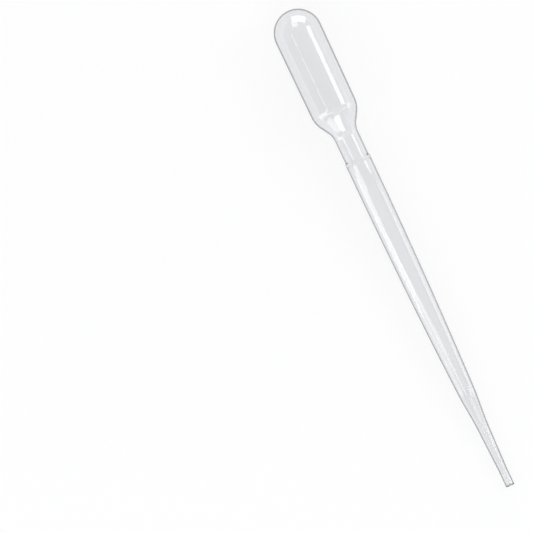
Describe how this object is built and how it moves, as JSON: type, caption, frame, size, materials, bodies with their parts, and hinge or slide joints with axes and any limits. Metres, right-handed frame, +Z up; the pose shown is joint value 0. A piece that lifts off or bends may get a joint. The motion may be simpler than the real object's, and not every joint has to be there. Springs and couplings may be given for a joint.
{
  "type": "plastic dropper pipette",
  "caption": "Clear plastic dropper pipette, blown in one piece: a domed squeeze bulb, a short neck with a ring bead, and a long hollow stem that tapers to a fine open tip.",
  "frame": {"origin": "on the floor it lies on, under the middle of its length and width", "axes": "+X along the pipette from the bulb to the tip, +Z up from the floor; the pipette's own axis dips 2.61 degrees below +X towards the tip, as it comes to rest on the bulb's shoulder and the rim of the tip"},
  "size_m": [0.1549, 0.0144, 0.0153],
  "materials": {
    "clear_plastic": "gloss"
  },
  "bodies": {
    "root": {"pipette": "clear_plastic"}
  },
  "joints": []
}
